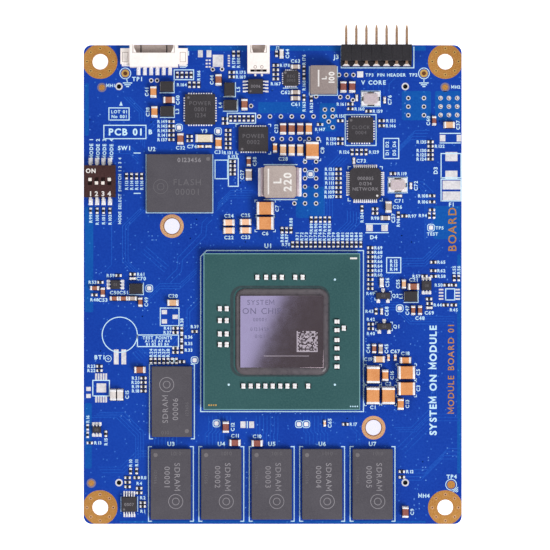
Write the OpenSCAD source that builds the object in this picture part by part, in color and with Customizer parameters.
// System on module: a circuit board with a bare-die processor, memory, storage and power parts on
// its component side, connectors at its top edge and two mezzanine connectors underneath.
// Origin: centre of the four corner holes, on the underside of the board. Millimetres, +Z is up
// out of the component side, +Y points to the edge with the connectors.

/* [Board] */
// Width of the circuit board
board_w = 75; // [75:0.5:90]
// Length of the circuit board up to its connector edge
board_l = 95; // [95:0.5:110]
// Thickness of the circuit board
board_t = 1.6; // [1:0.1:2.4]
// Radius of the board's corners
corner_r = 1.5; // [1:0.1:3]
// Diameter of the four corner holes
corner_hole_d = 3.2; // [2.2:0.1:3.6]
// Distance of the corner holes from the edges of the board
corner_hole_inset = 3.25; // [3:0.05:4]
// Diameter of the two cooler holes
cooler_hole_d = 3.2; // [2.2:0.1:3.6]
// Distance between the cooler holes, across and along the board
cooler_pitch = 40; // [39:0.5:42]
// Diameter of the small tooling holes
tooling_hole_d = 0.9; // [0.6:0.1:1.2]

/* [Processor] */
// Side of the processor's square substrate
soc_size = 31; // [27:0.5:33]
// Thickness of the substrate
soc_t = 1.3; // [0.8:0.1:1.8]
// Height of the solder balls under the substrate
soc_ball_h = 0.45; // [0.3:0.05:0.6]
// Diameter of the solder balls
soc_ball_d = 0.6; // [0.4:0.05:0.7]
// Distance between the solder balls
soc_ball_pitch = 1; // [0.8:0.1:1.27]
// Width of the silicon die
die_w = 16.4; // [12:0.2:18]
// Length of the silicon die
die_l = 14.2; // [12:0.2:16]
// Thickness of the silicon die
die_t = 0.8; // [0.5:0.05:1]
// Width of the epoxy dam beside the die
dam_side = 1; // [0.6:0.1:1.4]
// Width of the epoxy dam above and below the die
dam_end = 1.45; // [0.6:0.05:1.8]
// Height of the epoxy dam
dam_h = 0.5; // [0.3:0.05:0.7]

/* [Memory and storage] */
// Width of a memory chip
memory_w = 8; // [7.5:0.1:9]
// Length of a memory chip
memory_l = 14; // [12:0.1:15]
// Thickness of a memory chip's package
memory_t = 0.85; // [0.6:0.05:1.2]
// Gap between the memory chips in the row
memory_gap = 2; // [1.5:0.1:2.4]
// Width of the storage chip
storage_w = 13; // [11.5:0.1:14]
// Length of the storage chip
storage_l = 11.5; // [10:0.1:13]
// Thickness of the storage chip's package
storage_t = 0.7; // [0.6:0.05:1.2]
// Height of the solder balls under the memory and storage chips
chip_ball_h = 0.35; // [0.2:0.05:0.5]
// Diameter of the solder balls under the memory and storage chips
chip_ball_d = 0.45; // [0.3:0.05:0.5]
// Distance between the solder balls under the memory and storage chips
chip_ball_pitch = 0.8; // [0.65:0.05:1]

/* [Leadless chips] */
// Thickness of the leadless chips
leadless_t = 0.85; // [0.7:0.05:1]
// Side of the square power manager
power_manager_w = 6; // [5:0.1:6.4]
// Width of the power stage
power_stage_w = 5.9; // [5:0.1:6]
// Length of the power stage
power_stage_l = 4.9; // [4:0.1:5.2]
// Side of the square regulator
regulator_w = 3; // [2.5:0.1:3.4]
// Side of the square clock chip
clock_w = 5; // [4:0.1:5.6]

/* [Leaded chips] */
// Thickness of the leaded chips' packages
leaded_t = 0.95; // [0.8:0.05:1.1]
// Gap between a leaded package and the board
leaded_gap = 0.1; // [0.05:0.05:0.15]
// Side of the square network chip
network_w = 6.2; // [5:0.1:6.6]
// Side of the monitor chip
monitor_w = 2.95; // [2.5:0.05:3.2]
// Side of the buffer chip
buffer_w = 3; // [2.5:0.1:3.2]
// Thickness of the sheet that the leads are bent from
lead_t = 0.15; // [0.1:0.01:0.2]
// How far a lead reaches out of its package
lead_reach = 0.95; // [0.7:0.05:1.1]
// How far a lead of the network chip reaches out of its package
network_lead_reach = 0.55; // [0.45:0.05:0.9]

/* [Inductors] */
// Width of the large inductor's core
large_core_w = 6.4; // [5.6:0.1:6.8]
// Length of the large inductor's core
large_core_l = 6.3; // [5.8:0.1:6.6]
// Height of the large inductor
large_core_h = 4.7; // [3:0.1:6]
// How far a side terminal of the large inductor reaches out of its core
large_terminal_w = 1.1; // [0.8:0.1:1.2]
// Side of the medium inductor's core
medium_core_w = 5.3; // [4.6:0.1:5.5]
// Height of the medium inductor
medium_core_h = 3.1; // [2:0.1:4]
// Length of a chip inductor
chip_inductor_l = 2.5; // [2:0.1:2.6]
// Width of a chip inductor
chip_inductor_w = 2; // [1.6:0.1:2.1]
// Height of a chip inductor
chip_inductor_h = 1.2; // [0.8:0.1:1.6]

/* [Small parts] */
// Length of a crystal's base
crystal_l = 3.2; // [2.5:0.1:3.4]
// Width of a crystal's base
crystal_w = 2.5; // [2:0.1:2.7]
// Height of a crystal with its metal can
crystal_h = 0.8; // [0.6:0.05:1.1]
// Length of the bulk capacitors
bulk_cap_l = 3.2; // [2.8:0.1:3.3]
// Width of the bulk capacitors
bulk_cap_w = 2.5; // [2:0.1:2.6]
// Height of the bulk capacitors
bulk_cap_h = 2.2; // [1.4:0.1:2.6]
// Length of the large ceramic capacitors
large_cap_l = 2; // [1.6:0.1:2.1]
// Width and height of the large ceramic capacitors
large_cap_w = 1.2; // [0.8:0.05:1.3]
// Length of the medium ceramic capacitors
medium_cap_l = 1.6; // [1.2:0.1:1.7]
// Width and height of the medium ceramic capacitors
medium_cap_w = 0.8; // [0.6:0.05:0.9]
// Length of the small capacitors and of the resistors
small_part_l = 1; // [0.6:0.05:1.05]
// Width of the small capacitors and of the resistors
small_part_w = 0.5; // [0.3:0.05:0.6]
// Height of a resistor
resistor_h = 0.35; // [0.25:0.05:0.5]

/* [Pin header] */
// Number of pins in the header
header_pins_n = 7; // [2:1:7]
// Distance between the header's pins
header_pitch = 2; // [1.27:0.01:2.2]
// Side of a square header pin
header_pin_w = 0.5; // [0.4:0.02:0.64]
// Height of the header's body
header_h = 2.4; // [2:0.1:3.2]
// Depth of the header's body
header_depth = 3.2; // [2:0.1:3.4]
// How far the pins reach past the body
header_reach = 3.9; // [2:0.1:6]

/* [Wire sockets] */
// Distance between the contacts of the wire sockets
socket_pitch = 1.25; // [1:0.05:1.5]
// Height of the wire sockets
socket_h = 3.4; // [2.8:0.1:4.2]
// Depth of the six-way wire socket
wide_socket_depth = 4.5; // [4:0.1:5]
// Depth of the two-way wire socket
narrow_socket_depth = 5.7; // [4.6:0.1:5.8]
// Wall of the wire sockets
socket_wall = 0.6; // [0.4:0.05:0.8]
// Side of a square contact in the wire sockets
contact_w = 0.4; // [0.3:0.02:0.5]

/* [Slide switch] */
// Distance between the switch's ways
switch_pitch = 1.27; // [1.2:0.01:1.5]
// Length of the switch's body
switch_l = 6.3; // [5:0.1:6.5]
// Height of the switch's body
switch_h = 2.4; // [2:0.1:3]
// Side of a square slider
slider_w = 0.66; // [0.5:0.02:0.8]
// Travel of a slider
slider_travel = 0.7; // [0.5:0.05:0.9]
// Clearance around a slider
slider_clearance = 0.08; // [0.05:0.01:0.12]
// How far a slider stands in its slot
slider_h = 0.75; // [0.6:0.05:1.4]

/* [Mezzanine connectors] */
// Contacts in one row of a mezzanine connector
mezzanine_ways = 70; // [40:1:80]
// Distance between the contacts of a mezzanine connector
mezzanine_pitch = 0.8; // [0.5:0.05:0.8]
// Width of a mezzanine connector
mezzanine_w = 6; // [5:0.1:7]
// Height of a mezzanine connector under the board
mezzanine_h = 4.3; // [3:0.1:6]
// Distance of the connectors' middle from the sides of the board
mezzanine_inset = 6.2; // [5.5:0.1:8]
// Thickness of the sheet that the contacts are bent from
mezzanine_sheet = 0.15; // [0.1:0.01:0.2]

/* [Hidden] */
$fn = 32;
left_edge = -board_w / 2;
top_edge = board_l / 2;
bottom_edge = -board_l / 2;
// The layout was drawn for a board 95 mm long, and spreads along the board when its length changes
spread = board_l / 95;

// Points given on the drawn layout, moved with the spread
function laid(places) = [for (p = places) [p[0], p[1] * spread]];

hole_x = board_w / 2 - corner_hole_inset;
hole_y = board_l / 2 - corner_hole_inset;
cooler_middle = [0, -8.4 * spread];
tooling_inset_left = 7;
tooling_inset_right = 11.2;
tooling_inset_y = 8.2;

// Processor: its place and the parts that line up with its edges
soc_at = [1.8, -9.3 * spread];
soc_top = soc_at[1] + soc_size / 2;
soc_right = soc_at[0] + soc_size / 2;
soc_bottom = soc_at[1] - soc_size / 2;
soc_base_z = board_t + soc_ball_h;
die_z = soc_base_z + soc_t;
soc_ball_n = floor((soc_size - soc_ball_pitch) / soc_ball_pitch);
soc_cap = [0.6, 1, 0.5];
dam_top = soc_at[1] + die_l / 2 + dam_end;
dam_bottom = soc_at[1] - die_l / 2 - dam_end;
dam_left = soc_at[0] - die_w / 2 - dam_side;
dam_right = soc_at[0] + die_w / 2 + dam_side;
soc_caps_top_x = [-4.85, -3.1, -1.5, 0, 2.65, 4.1];
soc_caps_bottom_x = [-7.6, -6.15, -4.7, -3.25, -1.8, -0.3, 1.1, 2.55, 5.2];
soc_caps_left_y = [4.55, 2.2, -0.45, -2.55];
soc_caps_right_y = [2, 0.3, -1.65, -3.3, -5.2, -6.9];
soc_cap_gap = 2.2;
soc_cap_side_gap = 1.7;
soc_cap_extra_y = 0.7;
soc_cap_pair_pitch = 1.35;

// Memory row along the bottom edge, and the single memory chip
memory_pitch = memory_w + memory_gap;
memory_edge_gap = 0.95;
row_at = [-0.2, bottom_edge + memory_edge_gap + memory_l / 2];
row_n = 5;
row_left = row_at[0] - (row_n - 1) / 2 * memory_pitch - memory_w / 2;
row_right = row_at[0] + (row_n - 1) / 2 * memory_pitch + memory_w / 2;
row_top = row_at[1] + memory_l / 2;
single_memory_gap = 2.35;
single_memory_at = [-20, row_top + single_memory_gap + memory_l / 2];
single_memory_top = single_memory_at[1] + memory_l / 2;
single_memory_left = single_memory_at[0] - memory_w / 2;
row_first_x = row_left + memory_w / 2;
memory_places = concat([for (i = [0:row_n - 1]) [row_first_x + i * memory_pitch, row_at[1]]],
    [single_memory_at]);
memory_ball_n = floor((memory_l - chip_ball_pitch) / chip_ball_pitch);
memory_ball_columns = 3.2;
storage_at = [-18.5, 20.1 * spread];
storage_ball_n = floor((storage_w - chip_ball_pitch) / chip_ball_pitch);
storage_ball_rows = 4.8;
chip_base_z = board_t + chip_ball_h;

// Chips
power_manager_at = [-14.4, 34.75 * spread];
power_stage_at = [-3.85, 28.85 * spread];
regulator_at = [3.6, 40.9 * spread];
clock_at = [17.45, 30.65 * spread];
network_at = [18.35, 20 * spread];
monitor_at = [-3.4, 39.3 * spread];
buffer_at = [row_left - 4.25, row_at[1] - 4];
leaded_z = board_t + leaded_gap;
lead_exit_z = leaded_z + leaded_t / 2;
network_lead_n = 12;
network_lead_pitch = 0.4;
network_lead_w = 0.18;
network_lead_end = network_at[1] - network_w / 2 - network_lead_reach;
network_chamfer = 0.6;
monitor_lead_n = 4;
monitor_lead_pitch = 0.65;
buffer_lead_n = 5;
buffer_lead_pitch = 0.5;
fine_lead_w = 0.22;
wide_lead_w = 0.35;
// Small logic chips: place, size, and whether their leads point along Y
logic_chips_list = [
    [[-31.2, 0], [1.9, 1.8], false],
    [[30.5, -0.2 * spread], [2, 1.9], true],
    [[-34.9, -28.75 * spread], [1.7, 1.3], true]];
logic_lead_pitch = 0.65;
logic_lead_reach = 0.5;
transistor_places = laid([[21.9, -2.2], [22.1, -8.3]]);
transistor_size = [2.9, 1.3];
transistor_lead_pitch = 1.9;

// Inductors
large_inductor_at = [1.4, 20.3 * spread];
large_core_chamfer = 0.4;
large_terminal_l = large_core_l - 0.65;
large_terminal_h = large_core_h - 1;
large_terminal_t = 0.6;
large_foot_t = 0.3;
medium_inductor_at = [10.05, 40.5 * spread];
medium_core_l = medium_core_w + 0.3;
medium_core_chamfer = 0.2;
chip_inductors_h = laid([[-21, 39.25], [-20.95, 34.35], [-8.4, 35.6], [-27.1, -0.8], [27.4, -2.35]]);
chip_inductors_v = laid([[-8.6, 38.7]]);

// Crystals and resonator
crystal_places = laid([[19.45, 36.85], [24.8, 19.75]]);
crystal_base_h = 0.3;
crystal_rim = 0.25;
resonator_at = [-13.6, 29 * spread];
resonator_size = [3.2, 1.5, 0.75];

// Wire sockets, pin header and slide switch along the edges
edge_part_gap = 1.7;
wide_socket_x = -23.5;
wide_socket_n = 6;
wide_socket_w = (wide_socket_n - 1) * socket_pitch + 3.25;
wide_socket_back = top_edge - wide_socket_depth;
narrow_socket_x = -2.8;
narrow_socket_n = 2;
narrow_socket_w = (narrow_socket_n - 1) * socket_pitch + 3.15;
narrow_socket_back = top_edge - narrow_socket_depth;
socket_mouth = 1.75;
socket_rear_wall = 1.2;
socket_contact_recess = 0.9;
socket_contact_z = board_t + socket_h / 2;
socket_tail = 1.4;
socket_tab = [1.9, 3.1, 1.3];
rear_slot = 0.5;
rear_slot_wall = 0.2;
header_x = 20.55;
header_back = top_edge - header_depth;
header_w = header_pins_n * header_pitch;
header_pin_z = board_t + header_h / 2;
header_foot = 0.35;
header_foot_t = 0.25;
header_leg_gap = 0.1;
switch_n = 4;
switch_w = switch_n * switch_pitch + 1.12;
switch_edge_gap = 0.2;
switch_at = [left_edge + switch_edge_gap + switch_w / 2, 20.45 * spread];
switch_x = [for (i = [0:switch_n - 1]) switch_at[0] + (i - (switch_n - 1) / 2) * switch_pitch];
switch_lead_reach = 1.4;
switch_lead_w = 0.5;
switch_lead_t = 0.2;
switch_resistor_gap = 2.65;
slider_proud = 0.2;
slot_w = slider_w + 2 * slider_clearance;
slot_l = slot_w + slider_travel;
slot_depth = slider_h - slider_proud + slider_clearance;
// Sliders that rest at the end of their slot nearest the connector edge
slider_is_up = [true, false, false, true];

// Mezzanine connectors
mezzanine_x = board_w / 2 - mezzanine_inset;
mezzanine_row_l = (mezzanine_ways - 1) * mezzanine_pitch;
mezzanine_end = 2.4;
mezzanine_l = mezzanine_row_l + 2 * mezzanine_end;
mezzanine_slot_end = 0.5;
mezzanine_tongue = 1.8;
mezzanine_slot_w = 0.9;
mezzanine_tail = 0.6;
mezzanine_contact_w = 0.3;
mezzanine_contact_recess = 0.7;

// Points going down a column from y, and points going along a line from x
function column(x, y, n, step) = [for (i = [0:n - 1]) [x, y - i * step]];
function line(x, y, n, step) = [for (i = [0:n - 1]) [x + i * step, y]];

// The same, from a y on the drawn layout
function laid_column(x, y, n, step) = column(x, y * spread, n, step);
function laid_line(x, y, n, step) = line(x, y * spread, n, step);

// Places of the capacitors, by size and by the way they lie: h along X, v along Y
bulk_caps_h = laid([[-1.5, 15.1], [-1.5, 12.15], [26.5, -17.4], [26.5, -20.6]]);
bulk_caps_v = laid([[7.85, 26.6], [19.9, -17.85], [19.85, -22], [22.9, -22]]);
large_caps_h = concat(
    laid([[-20.6, 36.6], [35, 31.65], [-8.7, 12.3], [-8.7, 10.7], [-5.4, 12.4], [-5.4, 10.75],
    [21.1, -14.8], [26.3, -15], [27.9, -0.4]]),
    [[-19.8, single_memory_top + 12.6], [single_memory_left - 2.35, single_memory_at[1] + 6.3],
    [-7.5, row_top + 1.2], [-3.1, row_top + 1.1]]);
large_caps_v = concat(laid_line(2.05, 30.9, 4, 1.7), laid_line(2.05, 26.7, 3, 1.7),
    laid([[-23.65, 38.2], [-23.45, 34.25], [-18.3, 28.9], [-10.75, 40.6], [-5.6, 35.7], [-10.75, 28.05],
    [14, 39.2], [15.75, 39.2], [-4.75, 21.8], [22.95, 15.4], [22.3, -18], [25.35, -23.7],
    [-9.3, -28.25], [-31.65, -21.85], [-30.25, -21.85]]),
    [[row_right + 2.5, row_at[1] - 5.55]]);
medium_caps_h = concat(laid_line(-31.4, -2.75, 3, 1.8),
    laid([[4.5, 38.15], [4.5, 36.95], [22.35, 13.2], [4.5, 43.2], [-35.3, -0.7]]));
medium_caps_v = concat(
    laid([[0.45, 27.1], [32, 32.5], [20.1, -12.7], [21.4, -12.75], [26, 0.1], [-26.25, -3.45],
    [-33.7, -1.5], [27.85, -5.1], [29.2, -5.1], [21.6, 0.4], [-4.75, 24.4]]),
    [[1.75, top_edge - edge_part_gap]]);
small_caps_h = laid([[-14.35, 27.4], [-12.8, 27.4], [25, 17.6], [-27.8, 1.2], [31.05, -4.6]]);
small_caps_v = laid([[22.95, -14.5], [24.3, -14.5], [10.3, -27.5], [16.65, 37.05], [22.2, 36.6],
    [27.4, 19.6], [16.1, 24.55], [21.6, -5.3]]);

// Places of the resistors
resistors_h = concat(laid_column(-20.1, 32.35, 5, 0.9), laid_column(-16.5, 29.4, 2, 0.85),
    laid_column(-8.15, 42.1, 2, 0.9), laid_column(0.6, 43.5, 4, 0.9), laid_column(-9.45, 32.9, 2, 0.9),
    laid_column(-8.85, 30.6, 5, 0.87), laid_column(-7.95, 24.4, 4, 0.82), laid_column(13.4, 28.9, 2, 0.9),
    laid_column(21.6, 32.5, 2, 1), laid_column(15.4, 35.8, 2, 0.95), laid_column(13.05, 22.9, 7, 0.91),
    laid_column(31.6, 17.6, 2, 1.2), laid_column(31.3, 28.3, 5, 0.85), laid_column(-34.4, -16.2, 2, 0.85),
    laid_line(34.3, -4.05, 2, 1.6), laid_line(34.5, -0.1, 2, 1.4), laid_column(19.45, -7.85, 2, 0.9),
    column(20.3, network_lead_end - 1.35, 2, 0.85),
    column(soc_right + 2.05, soc_top + 1.1, 10, 0.9),
    column(-19.3, single_memory_top + 7.55, 2, 0.85), column(-19.3, single_memory_top + 3.6, 2, 0.85),
    column(single_memory_left - 1.65, single_memory_at[1] + 4.65, 4, 0.85),
    column(row_left - 4.6, row_at[1] + 1.25, 3, 0.9), column(row_left - 2.3, row_at[1] - 0.85, 2, 0.9),
    column(row_left - 1.6, row_at[1] - 3.7, 2, 0.75),
    column(row_right + 1.8, row_at[1] + 2.45, 2, 1.1),
    line(30.1, logic_chips_list[1][0][1] + 1.85, 2, 1.8),
    laid([[13.4, 32.5], [19, 34.4], [23.85, 22], [26.1, 13.6], [31.6, 14.8], [31.85, 4.45], [31.85, 2.75],
    [31, -2.85], [31.1, -3.75], [-30.6, 1.8], [-27.8, 2.05], [-34.2, 0.45], [-15.5, -9.3],
    [-36.3, -31.4], [14.4, -27.7], [9.4, 31.75], [-35.4, -2.05]]),
    [[-18, single_memory_top + 0.9], [row_left - 2.8, row_at[1] + 1.25]]);
resistors_v = concat(laid_line(-18.9, 41.6, 4, 0.9), laid_line(-16.5, 39.65, 3, 0.9),
    laid_line(-8.35, 32.95, 6, 0.88), laid_line(-29, 21.5, 4, 1), laid_line(7.65, 12.9, 5, 0.9),
    laid_line(15.75, 26.3, 4, 0.92), laid_line(31.1, 13.7, 2, 0.9), laid_line(36, 1.3, 2, 0.9),
    laid_column(6.2, 42.8, 2, 1.5), laid_column(-36.7, -28.3, 2, 1.5),
    line(1.85, soc_top + 4.6, 3, 0.88), line(3.95, soc_top + 1.75, 16, 0.9),
    column(-18.05, single_memory_top + 7.1, 4, 1.3), line(-24.15, single_memory_top + 1.05, 7, 0.84),
    line(row_left - 4, row_at[1] + 2.55, 2, 1.2), line(-7.75, top_edge - edge_part_gap, 2, 0.95),
    laid([[24.9, 13.85], [-33.1, -29.6], [6.2, 37.1], [20.5, -5.3]]),
    [[0.75, top_edge - edge_part_gap], [17.7, network_lead_end - 1.25],
    [7.65, medium_inductor_at[1] - medium_core_l / 2 - 0.8]],
    [for (x = switch_x) [x, switch_at[1] - switch_l / 2 - switch_resistor_gap]]);
under_cap_n = [6, 5];
under_cap_pitch = 3;

// End bands of the capacitors: their length and how far they stand proud of the ceramic
bulk_band = 0.5;
large_band = 0.4;
medium_band = 0.3;
band_proud = 0.03;
cut = 1;

// Shared shapes

// Block that stands on height z, with its middle at a place on the board
module block(at, size, z = board_t)
    translate([at[0] - size[0] / 2, at[1] - size[1] / 2, z]) cube(size);

// Block that stands on height z, with its four upright edges cut off
module chamfered_block(at, size, chamfer, z = board_t) {
    x = size[0] / 2;
    y = size[1] / 2;
    c = chamfer;
    translate([at[0], at[1], z]) linear_extrude(size[2])
        polygon([[c - x, -y], [x - c, -y], [x, c - y], [x, y - c],
            [x - c, y], [c - x, y], [-x, y - c], [-x, c - y]]);
}

// Ceramic capacitor with an end band at each end, lying along X
module banded_part(l, w, h, band) {
    x = l / 2;
    y = w / 2;
    inner_x = x - band;
    inner_y = y - band_proud;
    linear_extrude(h)
        polygon([[-x, -y], [-inner_x, -y], [-inner_x, -inner_y], [inner_x, -inner_y], [inner_x, -y], [x, -y],
            [x, y], [inner_x, y], [inner_x, inner_y], [-inner_x, inner_y], [-inner_x, y], [-x, y]]);
}

module banded_parts(places_h, places_v, l, w, h, band) {
    for (p = places_h) translate([p[0], p[1], board_t]) banded_part(l, w, h, band);
    for (p = places_v) translate([p[0], p[1], board_t]) rotate(90) banded_part(l, w, h, band);
}

module blocks(places_h, places_v, size) {
    for (p = places_h) block(p, size);
    for (p = places_v) block(p, [size[1], size[0], size[2]]);
}

// Gull-wing lead that leaves its package at x 0 and reaches out along +X
module gull_lead(reach, exit_z, w, t) {
    knee = reach / 2;
    rotate([90, 0, 0]) linear_extrude(w, center = true)
        polygon([[0, exit_z], [0, exit_z + t], [knee, exit_z + t], [knee, board_t + t], [reach, board_t + t],
            [reach, board_t], [knee - t, board_t], [knee - t, exit_z]]);
}

// Row of leads on one side of a package, side 0 is +X and 1 is +Y
module lead_row(at, half, side, n, pitch, reach, exit_z, w, t)
    translate([at[0], at[1], 0]) rotate(side * 90)
        for (i = [0:n - 1]) translate([half, (i - (n - 1) / 2) * pitch, 0]) gull_lead(reach, exit_z, w, t);

module balls(places, d, h)
    for (p = places) translate([p[0], p[1], board_t]) cylinder(d = d, h = h);

// Sub-parts

module circuit_board() color("royalblue") difference() {
    block([0, 0], [board_w, board_l, board_t], 0);
    for (sx = [-1, 1], sy = [-1, 1]) {
        translate([sx * (board_w / 2 - corner_r), sy * (board_l / 2 - corner_r), 0]) difference() {
            translate([sx * (corner_r + cut) / 2, sy * (corner_r + cut) / 2, board_t / 2])
                cube([corner_r + cut, corner_r + cut, board_t + 2 * cut], center = true);
            translate([0, 0, -2 * cut]) cylinder(r = corner_r, h = board_t + 4 * cut);
        }
        translate([sx * hole_x, sy * hole_y, -cut]) cylinder(d = corner_hole_d, h = board_t + 2 * cut);
        tooling_x = board_w / 2 - (sx > 0 ? tooling_inset_right : tooling_inset_left);
        translate([sx * tooling_x, sy * (board_l / 2 - tooling_inset_y), -cut])
            cylinder(d = tooling_hole_d, h = board_t + 2 * cut);
    }
    for (s = [-1, 1])
        translate([cooler_middle[0] + s * cooler_pitch / 2, cooler_middle[1] - s * cooler_pitch / 2, -cut])
            cylinder(d = cooler_hole_d, h = board_t + 2 * cut);
}

module soc_substrate() color("darkslategray") block(soc_at, [soc_size, soc_size, soc_t], soc_base_z);

module soc_die() color("slategray") block(soc_at, [die_w, die_l, die_t], die_z);

module soc_dam() color("dimgray") difference() {
    block(soc_at, [die_w + 2 * dam_side, die_l + 2 * dam_end, dam_h], die_z);
    block(soc_at, [die_w, die_l, dam_h + 2 * cut], die_z - cut);
}

module soc_capacitors() color("gainsboro") {
    for (x = soc_caps_top_x) block([soc_at[0] + x, dam_top + soc_cap_gap], soc_cap, die_z);
    for (x = soc_caps_bottom_x) block([soc_at[0] + x, dam_bottom - soc_cap_gap], soc_cap, die_z);
    for (y = soc_caps_left_y, i = [0, 1])
        block([dam_left - soc_cap_side_gap - i * soc_cap_pair_pitch, soc_at[1] + y], soc_cap, die_z);
    for (y = soc_caps_right_y)
        block([dam_right + soc_cap_side_gap, soc_at[1] + y], [soc_cap[1], soc_cap[0], soc_cap[2]], die_z);
    block([dam_right + soc_cap_side_gap + soc_cap_pair_pitch, soc_at[1] + soc_cap_extra_y], soc_cap, die_z);
}

module soc_solder_balls() color("silver") {
    half = (soc_ball_n - 1) / 2;
    last = soc_ball_n - 1;
    balls([for (i = [0:last], j = [0:last]) if (i == 0 || j == 0 || i == last || j == last)
        [soc_at[0] + (i - half) * soc_ball_pitch, soc_at[1] + (j - half) * soc_ball_pitch]],
        soc_ball_d, soc_ball_h);
}

module memory_chip(i) color("dimgray") block(memory_places[i], [memory_w, memory_l, memory_t], chip_base_z);

module memory_solder_balls() color("silver")
    balls([for (p = memory_places, s = [-1, 1], i = [0:memory_ball_n - 1])
        [p[0] + s * memory_ball_columns, p[1] + (i - (memory_ball_n - 1) / 2) * chip_ball_pitch]],
        chip_ball_d, chip_ball_h);

module storage_chip() color("dimgray") block(storage_at, [storage_w, storage_l, storage_t], chip_base_z);

module storage_solder_balls() color("silver")
    balls([for (s = [-1, 1], i = [0:storage_ball_n - 1])
        [storage_at[0] + (i - (storage_ball_n - 1) / 2) * chip_ball_pitch,
        storage_at[1] + s * storage_ball_rows]],
        chip_ball_d, chip_ball_h);

module power_manager() color("dimgray")
    block(power_manager_at, [power_manager_w, power_manager_w, leadless_t]);

module power_stage() color("dimgray") block(power_stage_at, [power_stage_w, power_stage_l, leadless_t]);

module regulator() color("dimgray") block(regulator_at, [regulator_w, regulator_w, leadless_t]);

module clock_chip() color("dimgray") block(clock_at, [clock_w, clock_w, leadless_t]);

module network_chip() color("dimgray")
    chamfered_block(network_at, [network_w, network_w, leaded_t], network_chamfer, leaded_z);

module network_chip_leads() color("silver") for (side = [0:3])
    lead_row(network_at, network_w / 2, side, network_lead_n, network_lead_pitch, network_lead_reach,
        lead_exit_z, network_lead_w, lead_t);

module monitor_chip() color("dimgray") block(monitor_at, [monitor_w, monitor_w, leaded_t], leaded_z);

module monitor_chip_leads() color("silver") for (side = [0, 2])
    lead_row(monitor_at, monitor_w / 2, side, monitor_lead_n, monitor_lead_pitch, lead_reach, lead_exit_z,
        fine_lead_w, lead_t);

module buffer_chip() color("dimgray") block(buffer_at, [buffer_w, buffer_w, leaded_t], leaded_z);

module buffer_chip_leads() color("silver") for (side = [1, 3])
    lead_row(buffer_at, buffer_w / 2, side, buffer_lead_n, buffer_lead_pitch, lead_reach, lead_exit_z,
        fine_lead_w, lead_t);

module logic_chips() color("dimgray") for (c = logic_chips_list)
    block(c[0], [c[1][0], c[1][1], leaded_t], leaded_z);

module logic_chip_leads() color("silver") for (c = logic_chips_list, s = [0, 1])
    lead_row(c[0], (c[2] ? c[1][1] : c[1][0]) / 2, 2 * s + (c[2] ? 1 : 0), 3, logic_lead_pitch,
        logic_lead_reach, lead_exit_z, fine_lead_w, lead_t);

module transistors() color("dimgray") for (p = transistor_places)
    block(p, [transistor_size[0], transistor_size[1], leaded_t], leaded_z);

module transistor_leads() color("silver") for (p = transistor_places, s = [0, 1])
    lead_row(p, transistor_size[1] / 2, 1 + 2 * s, 1 + s, transistor_lead_pitch, logic_lead_reach,
        lead_exit_z, wide_lead_w, lead_t);

module large_inductor() color("gray")
    chamfered_block(large_inductor_at, [large_core_w, large_core_l, large_core_h], large_core_chamfer);

// Winding ends that come down both sides of the core and turn outwards into feet
module large_inductor_terminals() color("silver") for (side = [0, 2])
    translate([large_inductor_at[0], large_inductor_at[1], board_t]) rotate(side * 90)
        translate([large_core_w / 2, 0, 0]) rotate([90, 0, 0]) linear_extrude(large_terminal_l, center = true)
        polygon([[0, 0], [large_terminal_w, 0], [large_terminal_w, large_foot_t],
            [large_terminal_t, large_foot_t], [large_terminal_t, large_terminal_h], [0, large_terminal_h]]);

module medium_inductor() color("gray")
    chamfered_block(medium_inductor_at, [medium_core_w, medium_core_l, medium_core_h], medium_core_chamfer);

module chip_inductors() color("dimgray")
    blocks(chip_inductors_h, chip_inductors_v, [chip_inductor_l, chip_inductor_w, chip_inductor_h]);

module crystal_bases() color("tan") for (p = crystal_places)
    block(p, [crystal_l, crystal_w, crystal_base_h]);

module crystal_cans() color("silver") for (p = crystal_places)
    block(p, [crystal_l - 2 * crystal_rim, crystal_w - 2 * crystal_rim, crystal_h - crystal_base_h],
        board_t + crystal_base_h);

module resonator() color("wheat") block(resonator_at, resonator_size);

module bulk_capacitors() color("sandybrown")
    banded_parts(bulk_caps_h, bulk_caps_v, bulk_cap_l, bulk_cap_w, bulk_cap_h, bulk_band);

module large_capacitors() color("peru")
    banded_parts(large_caps_h, large_caps_v, large_cap_l, large_cap_w, large_cap_w, large_band);

module medium_capacitors() color("rosybrown")
    banded_parts(medium_caps_h, medium_caps_v, medium_cap_l, medium_cap_w, medium_cap_w, medium_band);

module small_capacitors() color("linen")
    blocks(small_caps_h, small_caps_v, [small_part_l, small_part_w, small_part_w]);

module resistors() color("black") blocks(resistors_h, resistors_v, [small_part_l, small_part_w, resistor_h]);

// Pin header with pins bent down to the board behind its body
module header_body() color("black") difference() {
    block([header_x, header_back + header_depth / 2], [header_w, header_depth, header_h]);
    for (i = [0:header_pins_n - 1])
        translate([header_pin_x(i) - header_pin_w / 2, header_back - cut, header_pin_z - header_pin_w / 2])
            cube([header_pin_w, header_depth + 2 * cut, header_pin_w]);
}

function header_pin_x(i) = header_x + (i - (header_pins_n - 1) / 2) * header_pitch;

module header_pins() color("silver") {
    leg_front = header_back - header_leg_gap;
    leg_back = leg_front - header_pin_w;
    upper = header_pin_z + header_pin_w / 2;
    lower = header_pin_z - header_pin_w / 2;
    for (i = [0:header_pins_n - 1])
        bent_strip(header_pin_x(i), header_pin_w,
            [[top_edge + header_reach, lower], [top_edge + header_reach, upper], [leg_back, upper],
            [leg_back, board_t + header_foot_t], [leg_back - header_foot, board_t + header_foot_t],
            [leg_back - header_foot, board_t], [leg_front, board_t], [leg_front, lower]]);
}

// Strip of width w at x, whose outline is given in the Y Z plane
module bent_strip(x, w, outline)
    translate([x - w / 2, 0, 0]) rotate([90, 0, 90]) linear_extrude(w) polygon(outline);

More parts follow.
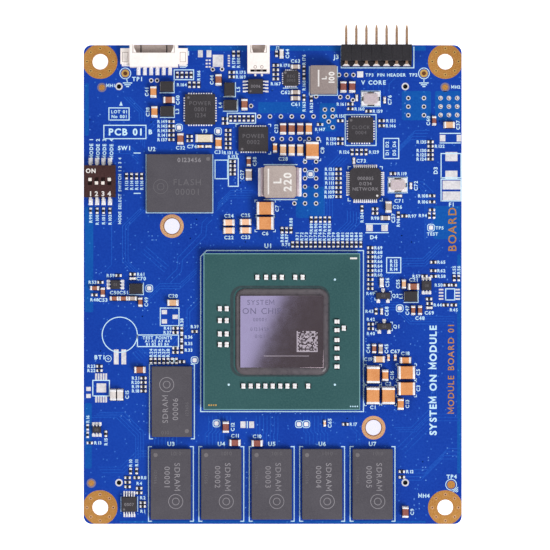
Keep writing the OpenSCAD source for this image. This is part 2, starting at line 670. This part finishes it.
// Wire socket open to the connector edge, with its roof cut back over the mouth
module socket_shell(x, w, back, depth, n, passage_y) difference() {
    block([x, back + depth / 2], [w, depth, socket_h]);
    translate([x - w / 2 + socket_wall, back + socket_rear_wall, board_t + socket_wall])
        cube([w - 2 * socket_wall, depth, socket_h - 2 * socket_wall]);
    translate([x - w / 2 + socket_wall, top_edge - socket_mouth, board_t + socket_h / 2])
        cube([w - 2 * socket_wall, depth, socket_h]);
    for (i = [0:n - 1])
        translate([socket_x(x, n, i) - contact_w / 2, passage_y, socket_contact_z - contact_w / 2])
            cube([contact_w, back + socket_rear_wall + cut - passage_y, contact_w]);
}

function socket_x(x, n, i) = x + (i - (n - 1) / 2) * socket_pitch;

module wide_socket_housing() color("whitesmoke")
    socket_shell(wide_socket_x, wide_socket_w, wide_socket_back, wide_socket_depth, wide_socket_n,
        wide_socket_back - cut);

module wide_socket_contacts() color("goldenrod") {
    leg_back = wide_socket_back - contact_w;
    for (i = [0:wide_socket_n - 1])
        bent_strip(socket_x(wide_socket_x, wide_socket_n, i), contact_w,
            [[top_edge - socket_contact_recess, socket_contact_z - contact_w / 2],
            [top_edge - socket_contact_recess, socket_contact_z + contact_w / 2],
            [leg_back, socket_contact_z + contact_w / 2], [leg_back, board_t + contact_w / 2],
            [wide_socket_back - socket_tail, board_t + contact_w / 2],
            [wide_socket_back - socket_tail, board_t],
            [wide_socket_back, board_t], [wide_socket_back, socket_contact_z - contact_w / 2]]);
}

module wide_socket_tabs() color("whitesmoke") for (s = [-1, 1])
    block([wide_socket_x + s * (wide_socket_w + socket_tab[0]) / 2, wide_socket_back + wide_socket_depth / 2],
        socket_tab);

module narrow_socket_housing() color("whitesmoke") difference() {
    socket_shell(narrow_socket_x, narrow_socket_w, narrow_socket_back, narrow_socket_depth, narrow_socket_n,
        narrow_socket_back + rear_slot_wall + rear_slot / 2);
    block([narrow_socket_x, narrow_socket_back + rear_slot_wall + rear_slot / 2],
        [narrow_socket_w - 2 * socket_wall, rear_slot, socket_h + 2 * cut], board_t - cut);
}

module narrow_socket_contacts() color("goldenrod") {
    leg_back = narrow_socket_back + rear_slot_wall + (rear_slot - contact_w) / 2;
    leg_front = leg_back + contact_w;
    for (i = [0:narrow_socket_n - 1])
        bent_strip(socket_x(narrow_socket_x, narrow_socket_n, i), contact_w,
            [[top_edge - socket_contact_recess, socket_contact_z - contact_w / 2],
            [top_edge - socket_contact_recess, socket_contact_z + contact_w / 2],
            [leg_back, socket_contact_z + contact_w / 2], [leg_back, board_t],
            [leg_front, board_t], [leg_front, socket_contact_z - contact_w / 2]]);
}

// Slide switch: a slot with a slider in it for each way
module switch_body() color("saddlebrown") difference() {
    block(switch_at, [switch_w, switch_l, switch_h]);
    for (x = switch_x)
        block([x, switch_at[1]], [slot_w, slot_l, slot_depth + cut], board_t + switch_h - slot_depth);
}

module switch_terminals() color("silver") for (side = [1, 3])
    lead_row(switch_at, switch_l / 2, side, switch_n, switch_pitch, switch_lead_reach, board_t + switch_h / 3,
        switch_lead_w, switch_lead_t);

module switch_slider(i) color("white")
    block([switch_x[i], switch_at[1] + (slider_is_up[i] ? 0.5 : -0.5) * slider_travel],
        [slider_w, slider_w, slider_h], board_t + switch_h + slider_proud - slider_h);

// Mezzanine connector under the board, with a tongue between two through slots
module mezzanine_housing(x) color("black") difference() {
    block([x, 0], [mezzanine_w, mezzanine_l, mezzanine_h - mezzanine_sheet], -mezzanine_h);
    for (s = [-1, 1])
        block([x + s * (mezzanine_tongue + mezzanine_slot_w) / 2, 0],
            [mezzanine_slot_w, mezzanine_row_l + 2 * mezzanine_slot_end, mezzanine_h + 2 * cut],
            -mezzanine_h - cut);
}

module mezzanine_contacts(x) color("goldenrod") {
    tip = mezzanine_w / 2 + mezzanine_tail;
    face = mezzanine_tongue / 2;
    low = mezzanine_contact_recess - mezzanine_h;
    for (s = [0, 1], i = [0:mezzanine_ways - 1])
        translate([x, i * mezzanine_pitch - mezzanine_row_l / 2, 0]) rotate(s * 180) rotate([90, 0, 0])
            linear_extrude(mezzanine_contact_w, center = true)
            polygon([[face, 0], [tip, 0], [tip, -mezzanine_sheet], [face + mezzanine_sheet, -mezzanine_sheet],
                [face + mezzanine_sheet, low], [face, low]]);
}

module underside_capacitors() color("tan")
    for (i = [0:under_cap_n[0] - 1], j = [0:under_cap_n[1] - 1])
        block([soc_at[0] + (i - (under_cap_n[0] - 1) / 2) * under_cap_pitch,
            soc_at[1] + (j - (under_cap_n[1] - 1) / 2) * under_cap_pitch],
            [small_part_l, small_part_w, small_part_w], -small_part_w);

circuit_board();
soc_substrate();
soc_die();
soc_dam();
soc_capacitors();
soc_solder_balls();
for (i = [0:row_n]) memory_chip(i);
memory_solder_balls();
storage_chip();
storage_solder_balls();
power_manager();
power_stage();
regulator();
clock_chip();
network_chip();
network_chip_leads();
monitor_chip();
monitor_chip_leads();
buffer_chip();
buffer_chip_leads();
logic_chips();
logic_chip_leads();
transistors();
transistor_leads();
large_inductor();
large_inductor_terminals();
medium_inductor();
chip_inductors();
crystal_bases();
crystal_cans();
resonator();
bulk_capacitors();
large_capacitors();
medium_capacitors();
small_capacitors();
resistors();
header_body();
header_pins();
wide_socket_housing();
wide_socket_contacts();
wide_socket_tabs();
narrow_socket_housing();
narrow_socket_contacts();
switch_body();
switch_terminals();
for (i = [0:switch_n - 1]) switch_slider(i);
mezzanine_housing(-mezzanine_x);  // mezzanine_left_housing
mezzanine_contacts(-mezzanine_x);  // mezzanine_left_contacts
mezzanine_housing(mezzanine_x);  // mezzanine_right_housing
mezzanine_contacts(mezzanine_x);  // mezzanine_right_contacts
underside_capacitors();
